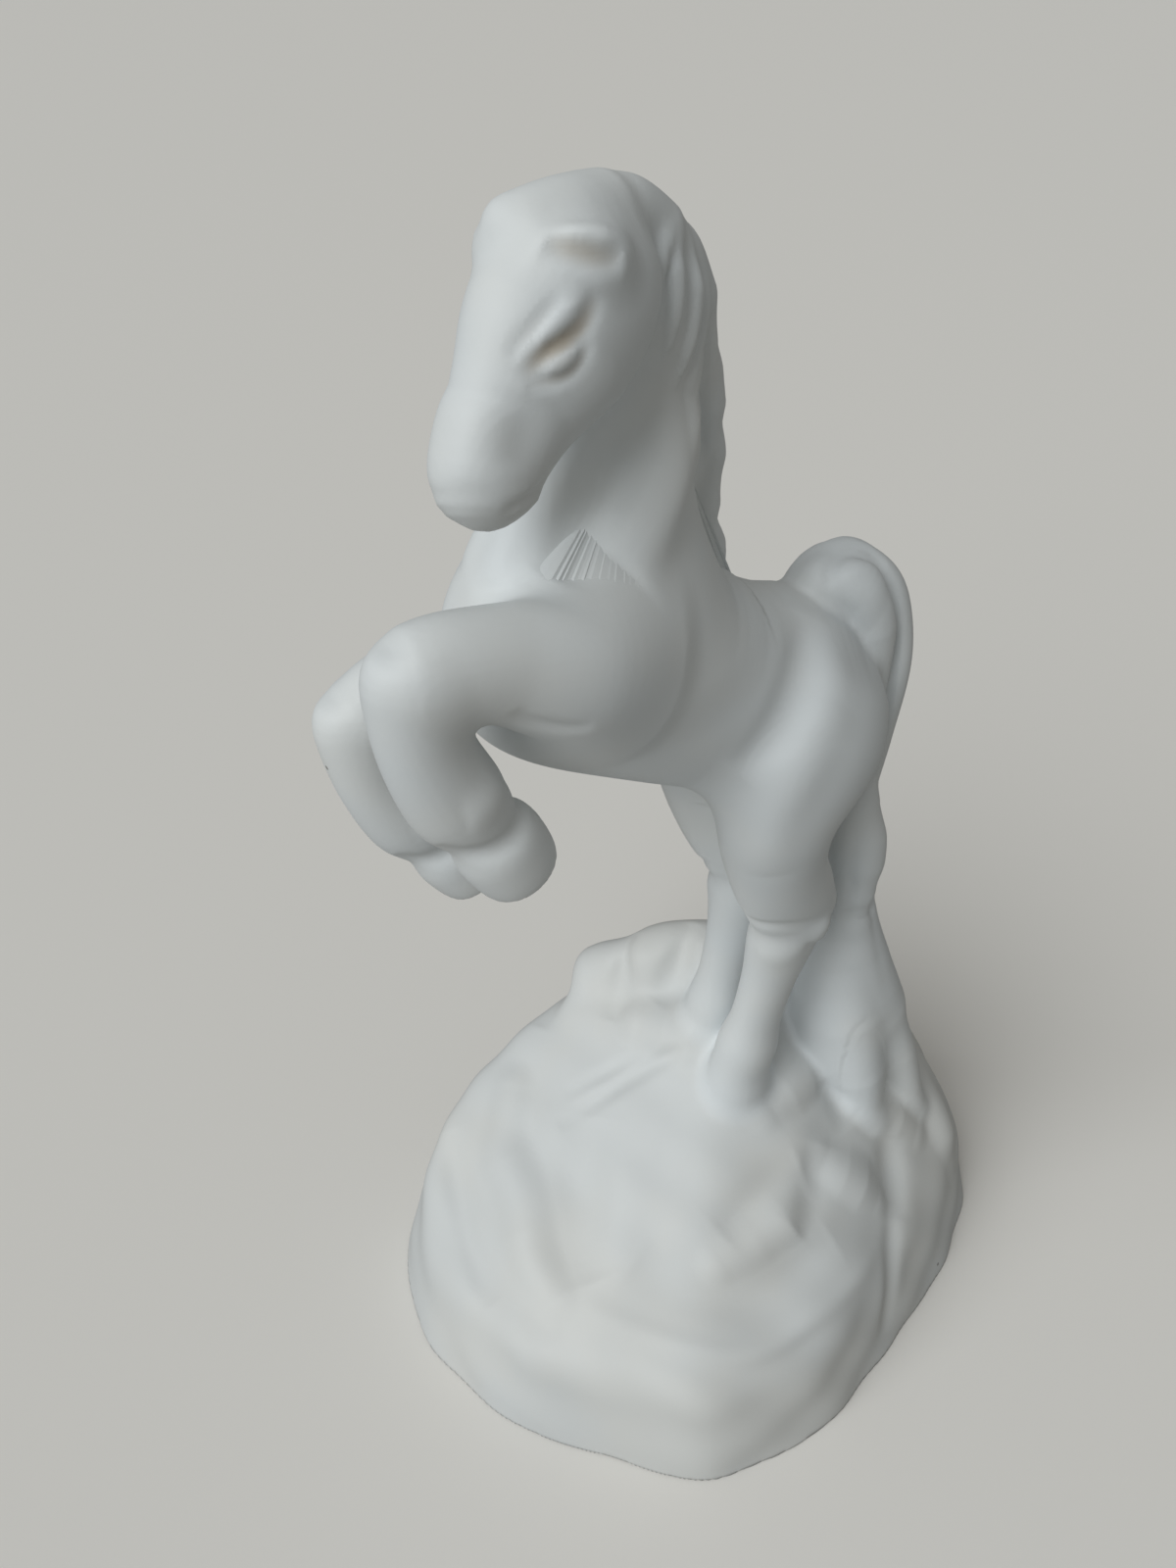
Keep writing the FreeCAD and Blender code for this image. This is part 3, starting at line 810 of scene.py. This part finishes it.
# Crags and ribs: places on the rock, then each one's radius and how far it stands out.
CRAGS = [
    ([(6.4, 3.0, 28.0), (5.2, 7.6, 28.6), (3.8, 11.5, 28.2)], 3.0, 1.1),
    ([(1.0, 15, 28.8), (2.0, 20, 25.6), (4.0, 23, 21.8), (6, 25.2, 18.8)], 3.2, 1.2),
    ([(6.8, 15.2, 23.0), (8.4, 19.5, 19.6), (10, 22.8, 16.2)], 2.8, 1.0),
    ([(11.4, 8.0, 21.8), (13.4, 11, 18.8), (15, 13.4, 16.0)], 3.0, 0.5),
    ([(15.4, -8.0, 18.6), (15, -3.2, 19.8), (14.6, 0.8, 20.4), (13.8, 4.0, 20.8)], 2.8, 0.5),
    ([(-13, -18, 22), (-9, -21.4, 19.6), (-4, -23, 17.8), (2, -24, 15.8), (8, -24, 14)], 3.6, 0.9),
    ([(4.6, 28.4, 18), (9.2, 28, 14), (11.8, 28.4, 9)], 2.8, 0.6),
    ([(-8, -4, 31), (-5, -2.6, 32), (-2.4, -1.4, 32.4), (0, 0.4, 32.4)], 3.4, 1.6),
    ([(-17, 0, 28.5), (-20, 7, 22), (-22, 12, 16)], 3.4, 0.9),
    ([(-10, 12, 27), (-14, 19, 20), (-17, 24.5, 13)], 3.2, 0.9),
    ([(-22, -3, 18), (-25, -6.5, 11), (-26.5, -9, 5)], 3.0, 0.6),
    ([(-3, 25, 21), (-2.4, 30, 13), (-2, 33, 6)], 3.2, 0.7),
]
# Hollows and grooves between them: places, width and depth.
CLEFTS = [
    ([(-4, -12.5, 23.4), (0, -16.5, 21), (4.5, -19, 18.4), (9.5, -20, 16)], 3.4, 1.1),
    ([(-15, -26, 17), (-9, -28, 15), (-3, -29, 13), (4, -29.4, 11)], 1.5, 0.6),
    ([(-1.6, -1.6, 32.4), (-3.0, -5.6, 29.8), (-4.2, -10.5, 26.8), (-5.4, -16.5, 22.6)], 0.9, 0.6),
    ([(-4.4, -4.4, 30.6), (-6.2, -9.5, 27.2), (-7.8, -14.5, 24.4)], 0.8, 0.35),
    ([(4.2, 11.0, 26.4), (7.0, 12.2, 24), (9.6, 12.4, 21.6)], 1.5, 0.4),
    ([(16, 0.6, 19.6), (13.6, 5.2, 21.2), (10.4, 7.6, 23)], 2.2, 0.8),
    ([(10.6, 18.2, 18.6), (13.6, 16.6, 15.8), (17, 14.8, 12.8)], 1.8, 1.0),
    ([(13.4, -7, 20.6), (12.4, -1.4, 22.4), (11.6, 4.4, 22.8)], 2.2, 0.7),
    ([(11, -16.4, 18.6), (15.6, -13.6, 17), (18.4, -8.5, 16.4), (19, -2, 16.4), (17.8, 5, 17)],
     2.4, 0.9),
    ([(16.4, 15.0, 14.6), (19.6, 12, 10), (22.8, 10, 2.5)], 1.3, 0.7),
    ([(-16, 6, 26), (-18, 12.6, 20), (-19.6, 18, 14)], 2.0, 1.0),
    ([(-7, 21, 22), (-8.6, 27, 14), (-9.6, 30.6, 7)], 2.0, 0.9),
    ([(-20, -13, 18.4), (-23.5, -16.5, 11), (-25.4, -18, 5)], 1.8, 0.7),
    ([(-15.5, -1, 37), (-13, -4, 34), (-10.5, -7.5, 30.6)], 1.3, 0.9),
    ([(-10.8, 4, 39.6), (-9, 0.6, 37), (-7.6, -3, 34)], 1.4, 0.9),
    ([(-19, -3, 31), (-18.4, -8, 28.6), (-16.4, -13, 26)], 1.6, 0.7),
    # raised lips: the shoulder's crest over the walls
    ([(10, -21.6, 14), (16, -17.4, 14.3), (19.6, -13.6, 13.8), (22, -9.8, 13), (22.7, -5.4, 12.8),
      (22.2, -0.6, 13), (21.2, 4.6, 12.9), (18.4, 11.6, 12.8)], 1.2, -0.4),
]
# The crest behind the far hoof, the highest part of the rock.
CREST = [(-17.5, -5, 31.5), (-14, -1, 34.4), (-11, 3, 36.6), (-8, 7, 36.8), (-5, 11, 35)]
ROCK_LUMPS.append(Lock("rock_base", CREST, 3.4, softness=3.0, shape=(0.7, 1.0, 1.0, 0.8)))
for places, radius, proud in CRAGS:
    places = pressed(places, radius - proud, onto=rock_skin)
    ROCK_LUMPS.append(Lock("rock_base", places, radius, softness=1.6, shape=(0.75, 1.0, 1.0, 0.7)))
for places, width, depth in CLEFTS:
    STROKES.append(Stroke(pressed(places, onto=rock_skin), width, -depth))


# ------------------------------
# The whole field
# ------------------------------

# How softly the animal runs into the rock, and how far inside the rock it ends.
HOOF_SEAT = 1.5
SUNK = 1.0
# The warm stain that the rock has all over, and the width over which it gives way to the animal.
ROCK_WARMTH = 0.30
WARMTH_EASE = 2.4


def figurine(points):
    """Signed distance, number of the nearest piece, and warm stain at each point: the rock's own
    tint, and in the creases a brown that is partly painted shade.
    """
    rock = rock_skin(points)
    hollow = rock_distance(points, ROCK_INNER, ROCK_EDGE)
    body, reaches = joined_limbs(points)
    reaches.insert(0, rock)
    for lock in LOCKS:
        lock.apply(points, body, reaches[lock.piece])
    lift = np.zeros(len(points))
    stain_and_shade = np.zeros(len(points))
    # the strokes' brown in creases and hollows is partly painted shade; the rock's own warm tint
    # joins it below
    for stroke in STROKES:
        stroke.apply(points, lift, stain_and_shade)
    stain_and_shade = np.maximum(stain_and_shade, ROCK_WARMTH * np.clip(0.5 + (body - rock) / WARMTH_EASE, 0, 1))
    body = np.maximum(body, -rock - SUNK)
    whole = soft_union(body, np.maximum(rock, -hollow), HOOF_SEAT) - lift
    whole = np.maximum(whole, -points[:, 2])
    piece = np.argmin(np.array(reaches), axis=0)
    return whole, piece, stain_and_shade


# The side of a block of points, and more blocks than lie along any side of the figurine.
BLOCK = 10.0
BLOCKS = 1000


def in_blocks(function, points):
    """Calls the function on one block of neighbouring points at a time, and joins what it gives."""
    cell = np.floor((points - points.min(0)) / BLOCK).astype(int)
    key = (cell[:, 0] * BLOCKS + cell[:, 1]) * BLOCKS + cell[:, 2]
    order = np.argsort(key, kind="stable")
    cuts = np.nonzero(np.diff(key[order]))[0] + 1
    results = [function(points[group]) for group in np.split(order, cuts)]
    back = np.empty_like(order)
    back[order] = np.arange(len(order))
    return [np.concatenate(parts)[back] for parts in zip(*results)]


# ------------------------------
# Drawing the surface where the field is zero
# ------------------------------

CORNERS = np.array([[i, j, k] for i in (0, 1) for j in (0, 1) for k in (0, 1)])
# The lowest and highest corners of the grid.
FIELD_LOW = np.array([-29.5, -38.0, -1.3])
FIELD_HIGH = np.array([30.0, 39.0, 122.5])
# Fine cells along a coarse one, and how near the surface a coarse one is worked out finely.
COARSE = 4
BAND = 1.9
# Shares of the way by which vertices move to their neighbours' mean and then back to the surface,
# and how often they go back.
RELAXING = 0.5
SETTLING = 0.9
SETTLINGS = 2


def sample_field():
    """The field on a fine grid, worked out only within a narrow band about the surface."""
    shape = np.ceil((FIELD_HIGH - FIELD_LOW) / (GRID * COARSE)).astype(int)
    cells = np.stack(np.meshgrid(*[np.arange(n) for n in shape], indexing="ij"), -1).reshape(-1, 3)
    middles = FIELD_LOW + (cells + 0.5) * GRID * COARSE
    coarse = in_blocks(figurine, middles)[0]
    values = np.repeat(np.repeat(np.repeat(
        coarse.reshape(shape), COARSE, 0), COARSE, 1), COARSE, 2).astype(np.float32)
    near = cells[np.abs(coarse) < BAND] * COARSE
    inner = np.stack(np.meshgrid(*[np.arange(COARSE)] * 3, indexing="ij"), -1).reshape(-1, 3)
    fine = (near[:, None] + inner[None]).reshape(-1, 3)
    distance = in_blocks(figurine, FIELD_LOW + fine * GRID)[0]
    values[fine[:, 0], fine[:, 1], fine[:, 2]] = distance
    return values


def surface_net(values):
    """One vertex in each grid cell that the surface crosses, at the mean of its edges' crossings,
    and one quad about each grid edge that it crosses, wound to face outwards."""
    inside = values < 0
    shape = np.array(values.shape) - 1
    count = np.zeros(shape, np.int8)
    for i, j, k in CORNERS:
        count += inside[i:i + shape[0], j:j + shape[1], k:k + shape[2]]
    cells = np.stack(np.nonzero((count > 0) & (count < 8)), 1)
    number = np.full(shape, -1, np.int32)
    number[tuple(cells.T)] = np.arange(len(cells))
    corner = np.stack([values[tuple((cells + c).T)] for c in CORNERS], 1)
    total = np.zeros((len(cells), 3))
    crossings = np.zeros(len(cells))
    for a in range(8):
        for axis in range(3):
            if CORNERS[a][axis]:
                continue
            # the corner at the other end of this edge
            b = a + (4, 2, 1)[axis]
            crossed = (corner[:, a] < 0) != (corner[:, b] < 0)
            part = corner[:, a] / np.where(crossed, corner[:, a] - corner[:, b], 1)
            place = np.broadcast_to(CORNERS[a].astype(float), (len(cells), 3)).copy()
            place[:, axis] = part
            total += np.where(crossed[:, None], place, 0)
            crossings += crossed
    vertices = FIELD_LOW + (cells + total / crossings[:, None]) * GRID
    quads = []
    for axis in range(3):
        one, two = (axis + 1) % 3, (axis + 2) % 3
        ahead = [slice(None)] * 3
        here = [slice(None)] * 3
        ahead[axis], here[axis] = slice(1, None), slice(None, -1)
        edges = np.stack(np.nonzero(inside[tuple(here)] != inside[tuple(ahead)]), 1)
        edges = edges[((edges > 0) & (edges < shape)).all(1)]
        ring = []
        for back_one, back_two in ((0, 0), (1, 0), (1, 1), (0, 1)):
            around = edges.copy()
            around[:, one] -= back_one
            around[:, two] -= back_two
            ring.append(number[tuple(around.T)])
        ring = np.stack(ring, 1)
        outward = inside[tuple(edges.T)]
        quads.append(np.where(outward[:, None], ring, ring[:, ::-1]))
    return vertices, np.vstack(quads)


def vertex_normals(vertices, quads):
    """Each vertex's normal, from the quads about it weighted by their areas."""
    a, b, c, d = (vertices[quads[:, i]] for i in range(4))
    face = np.cross(c - a, d - b)
    total = np.zeros_like(vertices)
    for i in range(4):
        for axis in range(3):
            total[:, axis] += np.bincount(quads[:, i], face[:, axis], len(vertices))
    return unit(total)


def relaxed(vertices, quads, amount):
    """Each vertex moved part of the way to the mean of its neighbours."""
    total = np.zeros_like(vertices)
    weight = np.zeros(len(vertices))
    for i in range(4):
        for start, end in ((quads[:, i], quads[:, i - 1]), (quads[:, i - 1], quads[:, i])):
            weight += np.bincount(start, minlength=len(vertices))
            for axis in range(3):
                total[:, axis] += np.bincount(start, vertices[end, axis], len(vertices))
    return vertices + amount * (total / weight[:, None] - vertices)


def settled_labels(labels, quads):
    """A quad with one neighbour or none in its own piece takes the piece of three or more others,
    in six rounds, so that each patch's edge runs clean."""
    edges = np.sort(np.vstack([quads[:, (i, (i + 1) % 4)] for i in range(4)]), 1)
    owner = np.tile(np.arange(len(quads)), 4)
    key = edges[:, 0].astype(np.int64) * (quads.max() + 1) + edges[:, 1]
    order = np.argsort(key, kind="stable")
    same = key[order][1:] == key[order][:-1]
    left, right = owner[order][:-1][same], owner[order][1:][same]
    for _ in range(6):
        votes = np.zeros((len(quads), len(PIECES)), np.int16)
        np.add.at(votes, (left, labels[right]), 1)
        np.add.at(votes, (right, labels[left]), 1)
        winner = votes.argmax(1)
        agreed = votes[np.arange(len(quads)), labels] <= 1
        labels = np.where(agreed & (votes.max(1) >= 3), winner, labels)
    return labels


def drawn_surface():
    """Vertices, quads, vertex normals, vertex stains (a warm tint, partly painted shade in the
    creases) and quad labels of the whole figurine.
    """
    vertices, quads = surface_net(sample_field())
    vertices = relaxed(vertices, quads, RELAXING)
    for _ in range(SETTLINGS):
        normals = vertex_normals(vertices, quads)
        distance = in_blocks(figurine, vertices)[0]
        vertices -= np.clip(distance, -GRID, GRID)[:, None] * normals * SETTLING
    # what lies within a third of a cell of the table stands on it
    flat = vertices[:, 2] < GRID / 3
    vertices[flat, 2] = 0.0
    normals = vertex_normals(vertices, quads)
    stain_and_shade = in_blocks(figurine, vertices)[2]
    labels = in_blocks(figurine, vertices[quads].mean(1))[1]
    return vertices, quads, normals, stain_and_shade, settled_labels(labels, quads)


# ------------------------------
# The pieces: a patch of the surface each, closed by a cap across every joint
# ------------------------------

def loop_groups(edges):
    """Numbers the closed loops that a set of edges makes."""
    ids, local = np.unique(edges, return_inverse=True)
    local = local.reshape(edges.shape)
    group = np.arange(len(ids))
    while True:
        lowest = group[local].min(1)
        spread = group.copy()
        np.minimum.at(spread, local[:, 0], lowest)
        np.minimum.at(spread, local[:, 1], lowest)
        if (spread == group).all():
            break
        group = spread
    names, number = np.unique(group[local[:, 0]], return_inverse=True)
    return len(names), number


def piece_object(name, vertices, quads, normals, stain_and_shade, material):
    """A patch of the surface, closed by a fan from the middle of each of its open edges."""
    edges = np.vstack([quads[:, (i, (i + 1) % 4)] for i in range(4)])
    key = np.sort(edges, 1)
    _, first, times = np.unique(key, axis=0, return_index=True, return_counts=True)
    rim = edges[first[times == 1]]
    used, quads = np.unique(quads, return_inverse=True)
    quads = quads.reshape(-1, 4)
    rim = np.searchsorted(used, rim)
    points, shade, stain_and_shade_at = vertices[used], normals[used], stain_and_shade[used]
    loops, number = loop_groups(rim)
    weight = np.bincount(number, minlength=loops)
    middles = np.stack([np.bincount(number, points[rim[:, 0], axis], loops) / weight
                        for axis in range(3)], 1)
    caps = np.stack([rim[:, 1], rim[:, 0], len(points) + number], 1)
    points = np.vstack([points, middles])
    stain_and_shade_at = np.concatenate([stain_and_shade_at, np.zeros(loops)])

    mesh = bpy.data.meshes.new(name)
    corners = np.concatenate([quads.ravel(), caps.ravel()])
    sizes = np.concatenate([np.full(len(quads), 4), np.full(len(caps), 3)])
    starts = np.concatenate([[0], np.cumsum(sizes)[:-1]])
    mesh.vertices.add(len(points))
    mesh.vertices.foreach_set("co", (points * MM).astype(np.float32).ravel())
    mesh.loops.add(len(corners))
    mesh.loops.foreach_set("vertex_index", corners.astype(np.int32))
    mesh.polygons.add(len(sizes))
    mesh.polygons.foreach_set("loop_start", starts.astype(np.int32))
    mesh.update(calc_edges=True)
    # the warm brown per vertex, partly a tint and partly painted shade in the creases
    mesh.attributes.new("stain_and_shade", "FLOAT", "POINT").data.foreach_set("value", stain_and_shade_at)
    a, b, c = (points[caps[:, i]] for i in range(3))
    across = np.repeat(unit(np.cross(b - a, c - a)), 3, axis=0)
    mesh.normals_split_custom_set(np.vstack([shade[quads.ravel()], across]))
    piece = bpy.data.objects.new(name, mesh)
    bpy.context.scene.collection.objects.link(piece)
    mesh.materials.append(material)
    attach(piece, "root")
    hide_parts(name)


# ------------------------------
# Materials
# ------------------------------

def new_material(name):
    """A new material, with its nodes, its links and its shader."""
    material = bpy.data.materials.new(name)
    material.use_nodes = True
    nodes = material.node_tree.nodes
    links = material.node_tree.links
    return material, nodes, links, nodes["Principled BSDF"]


def noise(nodes, links, coordinates, scale, detail):
    """A noise texture on given coordinates; gives back its node."""
    texture = nodes.new("ShaderNodeTexNoise")
    texture.inputs["Scale"].default_value = scale
    texture.inputs["Detail"].default_value = detail
    links.new(coordinates, texture.inputs["Vector"])
    return texture


def ramp(nodes, links, value, low, high, from_value, to_value):
    """A value carried smoothly from one range to another; gives back the output socket."""
    node = nodes.new("ShaderNodeMapRange")
    node.interpolation_type = "SMOOTHSTEP"
    for name, number in (("From Min", low), ("From Max", high),
                         ("To Min", from_value), ("To Max", to_value)):
        node.inputs[name].default_value = number
    links.new(value, node.inputs["Value"])
    return node.outputs["Result"]


def tint(nodes, links, factor, first, second):
    """A mix of two colours, each a constant or a socket; gives back the output socket."""
    node = nodes.new("ShaderNodeMix")
    node.data_type = "RGBA"
    links.new(factor, node.inputs["Factor"])
    for socket, colour in ((node.inputs[6], first), (node.inputs[7], second)):
        if isinstance(colour, tuple):
            socket.default_value = (*colour, 1)
        else:
            links.new(colour, socket)
    return node.outputs[2]


# The body's two whites, the warm brown in its hollows and creases, which is partly painted shade, and
# the specks, and the most that the brown covers.
COOL_WHITE = (0.700, 0.735, 0.752)
CLOUD_WHITE = (0.728, 0.748, 0.745)
STAIN_AND_SHADE = (0.40, 0.335, 0.245)
SPECK = (0.13, 0.11, 0.09)
STAIN_AND_SHADE_COVER = 0.85
# How many clouds, cells for specks, worn patches and grains there are to a metre.
CLOUD_SCALE = 55
SPECK_SCALE = 210
WEAR_SCALE = 170
GRAIN_SCALE = 2600


def bisque():
    """Unglazed white porcelain: a cool white body with faint clouds of warmer slip, fine even
    grain, a few pinhole specks, and a warm brown in its deepest hollows and creases that is partly a
    stain and partly painted shade."""
    material, nodes, links, shader = new_material("bisque")
    place = nodes.new("ShaderNodeTexCoord").outputs["Object"]
    clouds = noise(nodes, links, place, CLOUD_SCALE, 3)
    cloud = ramp(nodes, links, clouds.outputs["Fac"], 0.38, 0.66, 0.0, 1.0)
    body = tint(nodes, links, cloud, COOL_WHITE, CLOUD_WHITE)

    # the strokes' warm brown: a tint, and painted shade in the creases and hollows
    stain_and_shade = nodes.new("ShaderNodeAttribute")
    stain_and_shade.attribute_name = "stain_and_shade"
    stain_and_shade_amount = ramp(nodes, links, stain_and_shade.outputs["Fac"], 0.05, 1.0, 0.0, STAIN_AND_SHADE_COVER)
    stained_and_shaded = tint(nodes, links, stain_and_shade_amount, body, STAIN_AND_SHADE)

    cells = nodes.new("ShaderNodeTexVoronoi")
    cells.inputs["Scale"].default_value = SPECK_SCALE
    links.new(place, cells.inputs["Vector"])
    dot = ramp(nodes, links, cells.outputs["Distance"], 0.03, 0.055, 1.0, 0.0)
    # about one cell in fifteen, by its random colour, has a speck at its middle
    lots = nodes.new("ShaderNodeSeparateColor")
    links.new(cells.outputs["Color"], lots.inputs["Color"])
    chosen = ramp(nodes, links, lots.outputs["Red"], 0.93, 0.94, 0.0, 0.8)
    speck = nodes.new("ShaderNodeMath")
    speck.operation = "MULTIPLY"
    links.new(dot, speck.inputs[0])
    links.new(chosen, speck.inputs[1])
    colour = tint(nodes, links, speck.outputs["Value"], stained_and_shaded, SPECK)
    links.new(colour, shader.inputs["Base Color"])

    grain = noise(nodes, links, place, GRAIN_SCALE, 2)
    wear = noise(nodes, links, place, WEAR_SCALE, 2)
    links.new(ramp(nodes, links, wear.outputs["Fac"], 0.35, 0.7, 0.50, 0.60),
              shader.inputs["Roughness"])
    bump = nodes.new("ShaderNodeBump")
    bump.inputs["Strength"].default_value = 0.10
    bump.inputs["Distance"].default_value = 0.06 * MM
    links.new(grain.outputs["Fac"], bump.inputs["Height"])
    links.new(bump.outputs["Normal"], shader.inputs["Normal"])
    shader.inputs["Specular IOR Level"].default_value = 0.42
    return material


def floor_paint(seen, bounced):
    """A matt floor: one colour as the camera sees it, and a dimmer one in the light it returns."""
    material, nodes, links, shader = new_material("floor")
    rays = nodes.new("ShaderNodeLightPath")
    links.new(tint(nodes, links, rays.outputs["Is Camera Ray"], bounced, seen),
              shader.inputs["Base Color"])
    shader.inputs["Roughness"].default_value = 0.9
    shader.inputs["Specular IOR Level"].default_value = 0.1
    return material


# ------------------------------
# Stage, light and camera
# ------------------------------

# Half the side of the floor, in metres, and its colour as seen and in the light it returns.
FLOOR_REACH = 14.0
FLOOR_SEEN = (0.84, 0.82, 0.785)
FLOOR_BOUNCED = (0.32, 0.31, 0.29)
# The light from the window: its direction, strength, width in degrees and colour.
WINDOW = ((-0.25, 0.78, -0.575), 2.0, 50, (0.96, 0.99, 1.0))
ROOM_COLOUR = (1.0, 1.0, 0.96, 1)
ROOM_STRENGTH = 0.25
# The camera's place in mm, its heading and the angle by which it looks down, and its focal length
# and the picture's height in pixels.
CAMERA_PLACE = np.array([72.2, -54.0, 130.0])
CAMERA_HEADING = 62.0
CAMERA_DOWN = 35.0
FOCAL_PIXELS = 1201
PICTURE_PIXELS = 1600
SENSOR_HEIGHT = 36.0


def aim(thing, direction):
    """Points a lamp or camera, which look along their own -Z, in a direction."""
    thing.rotation_euler = Vector(direction).to_track_quat("-Z", "Y").to_euler()


def stage_floor():
    """A wide, plain, flat floor."""
    mesh = bpy.data.meshes.new("floor")
    corners = [(x * FLOOR_REACH, y * FLOOR_REACH, 0) for x, y in ((-1, -1), (1, -1), (1, 1), (-1, 1))]
    mesh.from_pydata(corners, [], [(0, 1, 2, 3)])
    floor = bpy.data.objects.new("floor", mesh)
    bpy.context.scene.collection.objects.link(floor)
    mesh.materials.append(floor_paint(FLOOR_SEEN, FLOOR_BOUNCED))


def daylight(name, direction, strength, width, colour):
    """A soft, distant light: it shines along a direction, from a patch of sky width degrees wide."""
    data = bpy.data.lights.new(name, "SUN")
    data.energy = strength
    data.angle = np.radians(width)
    data.color = colour
    light = bpy.data.objects.new(name, data)
    bpy.context.scene.collection.objects.link(light)
    aim(light, direction)


def camera():
    """The photograph's view: from the animal's left front, looking down on it."""
    heading, down = np.radians((CAMERA_HEADING, CAMERA_DOWN))
    data = bpy.data.cameras.new("camera")
    data.sensor_fit = "VERTICAL"
    data.sensor_height = SENSOR_HEIGHT
    data.lens = SENSOR_HEIGHT * FOCAL_PIXELS / PICTURE_PIXELS
    data.clip_start = 0.005
    view = bpy.data.objects.new("camera", data)
    bpy.context.scene.collection.objects.link(view)
    view.location = CAMERA_PLACE * MM
    level = np.array([-np.sin(heading), np.cos(heading), 0])
    aim(view, np.cos(down) * level - np.sin(down) * np.array([0, 0, 1.0]))
    bpy.context.scene.camera = view


def world_light():
    """The room's even light from all round."""
    world = bpy.data.worlds.new("room")
    bpy.context.scene.world = world
    world.use_nodes = True
    background = world.node_tree.nodes["Background"]
    background.inputs["Color"].default_value = ROOM_COLOUR
    background.inputs["Strength"].default_value = ROOM_STRENGTH


vertices, quads, normals, stain_and_shade, labels = drawn_surface()
material = bisque()
for number, name in enumerate(PIECES):
    piece_object(name, vertices, quads[labels == number], normals, stain_and_shade, material)

stage_floor()
world_light()
daylight("window", *WINDOW)
camera()
bpy.context.scene.view_settings.view_transform = "Standard"
